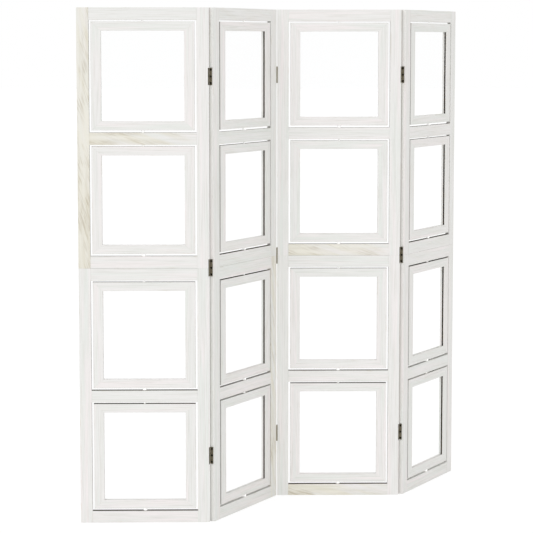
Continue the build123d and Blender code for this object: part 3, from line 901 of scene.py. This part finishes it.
# The knuckles: one or two on the axis, every other pitch apart, each with a neck into the plate
knuckle_height = add("ShaderNodeMath", {0: given["Pitch"], 1: given["Gap"]}, operation="SUBTRACT")
first_knuckle = add("ShaderNodeMath", {0: given["Pitch"], 1: given["First"]}, operation="MULTIPLY")
two_pitches = add("ShaderNodeMath", {0: given["Pitch"], 1: 2.0}, operation="MULTIPLY")
line = {"Count": given["Count"], "Start Location": (0, 0, first_knuckle), "Offset": (0, 0, two_pitches)}
places = add("GeometryNodeMeshLine", line, mode="OFFSET")
roll = {"Vertices": facets, "Radius": given["Barrel"], "Depth": knuckle_height}
roll = add("GeometryNodeMeshCylinder", roll)
neck_reach = add("ShaderNodeMath", {0: given["Seat"], 1: neck_overlap}, operation="ADD")
neck_x = add("ShaderNodeMath", {0: given["Seat"], 1: 0.5}, operation="MULTIPLY")
neck = add("GeometryNodeMeshCube", {"Size": (neck_reach, given["Plate"], knuckle_height)})
neck = add("GeometryNodeTransform", {"Geometry": neck, "Translation": (neck_x, plate_y, 0)})
knuckle = add("GeometryNodeMeshBoolean", {"Mesh 2": [roll, neck]}, operation="UNION", solver="EXACT")
past_ends = add("ShaderNodeMath", {0: knuckle_height, 1: 1.5}, operation="MULTIPLY")
reamer = {"Vertices": facets, "Radius": given["Pin"], "Depth": past_ends}
reamer = add("GeometryNodeMeshCylinder", reamer)
tools = {"Mesh 1": knuckle, "Mesh 2": [reamer]}
knuckle = add("GeometryNodeMeshBoolean", tools, operation="DIFFERENCE", solver="EXACT")
knuckles = add("GeometryNodeInstanceOnPoints", {"Points": places, "Instance": knuckle})
print(leaf_tree.name, "has", len(leaf_tree.nodes), "nodes")

# %% Countersunk screws
# A screw's head tapers to 1.2 mm, in a hole that tapers to 0.9 mm and is 0.3 mm wider at the top
head_foot, sink_foot, head_play = 1.2 * MM, 0.9 * MM, 0.3 * MM
head_y, sink_y = -0.8 * MM, -1.1 * MM
forwards = (-pi / 2, 0, 0)
slot_length, slot_width, slot_depth = 3.2 * MM, 0.8 * MM, 1.4 * MM
screw_places = three_in_line(add, given["Screws"], plate_x, face)

sink_top = add("ShaderNodeMath", {0: given["Head"], 1: head_play}, operation="ADD")
sink_length = add("ShaderNodeMath", {0: given["Plate"], 1: 1.8}, operation="MULTIPLY")
cone = {"Vertices": facets, "Radius Top": sink_top, "Radius Bottom": sink_foot, "Depth": sink_length}
sink = add("GeometryNodeMeshCone", cone)
sink = add("GeometryNodeTransform", {"Geometry": sink, "Translation": (0, sink_y, 0), "Rotation": forwards})
sinks = add("GeometryNodeInstanceOnPoints", {"Points": screw_places, "Instance": sink})
sinks = add("GeometryNodeRealizeInstances", {"Geometry": sinks})
tools = {"Mesh 1": plate, "Mesh 2": [sinks]}
plate = add("GeometryNodeMeshBoolean", tools, operation="DIFFERENCE", solver="EXACT")
# The plate's edges get painted shade: their faces look hardly forwards or backwards
facing = add("ShaderNodeSeparateXYZ", {0: add("GeometryNodeInputNormal")}).outputs["Y"]
facing = add("ShaderNodeMath", {0: facing}, operation="ABSOLUTE")
sheared = add("ShaderNodeMath", {0: facing, 1: 0.3}, operation="LESS_THAN")
plate = add(
    "GeometryNodeStoreNamedAttribute", {"Geometry": plate, "Name": "sheared", "Value": sheared},
    data_type="FLOAT", domain="FACE",
)

cone = {"Vertices": facets, "Radius Top": given["Head"], "Radius Bottom": head_foot, "Depth": given["Plate"]}
head = add("GeometryNodeMeshCone", cone)
bit = add("GeometryNodeMeshCube", {"Size": (slot_length, slot_width, slot_depth)})
bit_turned = add("GeometryNodeTransform", {"Geometry": bit, "Rotation": (0, 0, pi / 2)})
bit = add("GeometryNodeMeshBoolean", {"Mesh 2": [bit, bit_turned]}, operation="UNION", solver="EXACT")
bit = add("GeometryNodeTransform", {"Geometry": bit, "Translation": (0, 0, 0.8 * MM)})
tools = {"Mesh 1": head, "Mesh 2": [bit]}
head = add("GeometryNodeMeshBoolean", tools, operation="DIFFERENCE", solver="EXACT")
head = add("GeometryNodeTransform", {"Geometry": head, "Translation": (0, head_y, 0), "Rotation": forwards})
heads = add("GeometryNodeInstanceOnPoints", {"Points": screw_places, "Instance": head})
heads = add("GeometryNodeRealizeInstances", {"Geometry": heads})
heads = add("GeometryNodeSetMaterial", {"Geometry": heads, "Material": given["Screw"]})
print(leaf_tree.name, "has", len(leaf_tree.nodes), "nodes")

# %% A row of leaves, and a row of pins
metal = add("GeometryNodeJoinGeometry", {0: [plate, knuckles]})
metal = add("GeometryNodeRealizeInstances", {"Geometry": metal})
metal = add("GeometryNodeSetMaterial", {"Geometry": metal, "Material": given["Steel"]})
leaf = add("GeometryNodeJoinGeometry", {0: [metal, heads]})
hinge_places = three_in_line(add, given["Step"])
leaves = add("GeometryNodeInstanceOnPoints", {"Points": hinge_places, "Instance": leaf})
leaves = add("GeometryNodeRealizeInstances", {"Geometry": leaves})
add("NodeGroupOutput", {0: leaves})
print(leaf_tree.name, "has", len(leaf_tree.nodes), "nodes")

pin_tree, given, add = new_tree(
    "hinge_pins", Radius=1.1 * MM, Length=54.1 * MM, Step=hinge_step, Steel=bronze,
)
pin = {"Vertices": facets, "Radius": given["Radius"], "Depth": given["Length"]}
pin = add("GeometryNodeMeshCylinder", pin)
hinge_places = three_in_line(add, given["Step"])
pins = add("GeometryNodeInstanceOnPoints", {"Points": hinge_places, "Instance": pin})
end_tree(add, pins, given["Steel"])

# %% Hinges in their places
left_mesh = run_tree(leaf_tree, 0.2 * MM, First=-1, Count=2)
right_mesh = run_tree(leaf_tree, 0.2 * MM, First=0, Count=1)
pin_mesh = run_tree(pin_tree, 0.45 * MM, Step=hinge_step)
for number in (1, 2, 3):
    axis = Matrix.Translation(joint[f"fold_{number}_{number + 1}"]["pos_m"])
    # The ridges turn behind the panels, so their leaves reach forward from the axis
    reach = -1 if number != 2 else 1
    for hand, panel, into, mesh in (("left", number, -1, left_mesh), ("right", number + 1, 1, right_mesh)):
        turned = Matrix.Rotation(turn[panel], 3, "Z")
        free_edge = turned @ Vector((0, reach, 0))
        open_face = turned @ Vector((-into, 0, 0))
        place = axis @ Matrix((free_edge, open_face, free_edge.cross(open_face))).transposed().to_4x4()
        name = f"hinge_{number}_{hand}_leaves"
        place_piece(name + "_steel", mesh, place, f"panel_{panel}", "bronze_steel", name)
    rods, pins = f"hinge_{number}_pin_rods", f"hinge_{number}_pins"
    place_piece(rods, pin_mesh, axis, f"panel_{number}", "bronze_steel", pins)
print("hinges: 3 at each of 3 joints")

# %% [markdown]
# ## Solids that stay
#
# The clear sheets and the hidden tongues are plain cut boards in the real screen too, so the CAD solids
# stay as they are and only get their material.

# %% Materials for the CAD solids that stay
for kind, material in (("clear_sheets", clear_sheet), ("tongues", beech)):
    solids = [node for name, node in frame["nodes"].items() if kind in name]
    for node in solids:
        node.data.materials.clear()
        node.data.materials.append(material)
    print("nodes with", kind, "in their names:", len(solids))
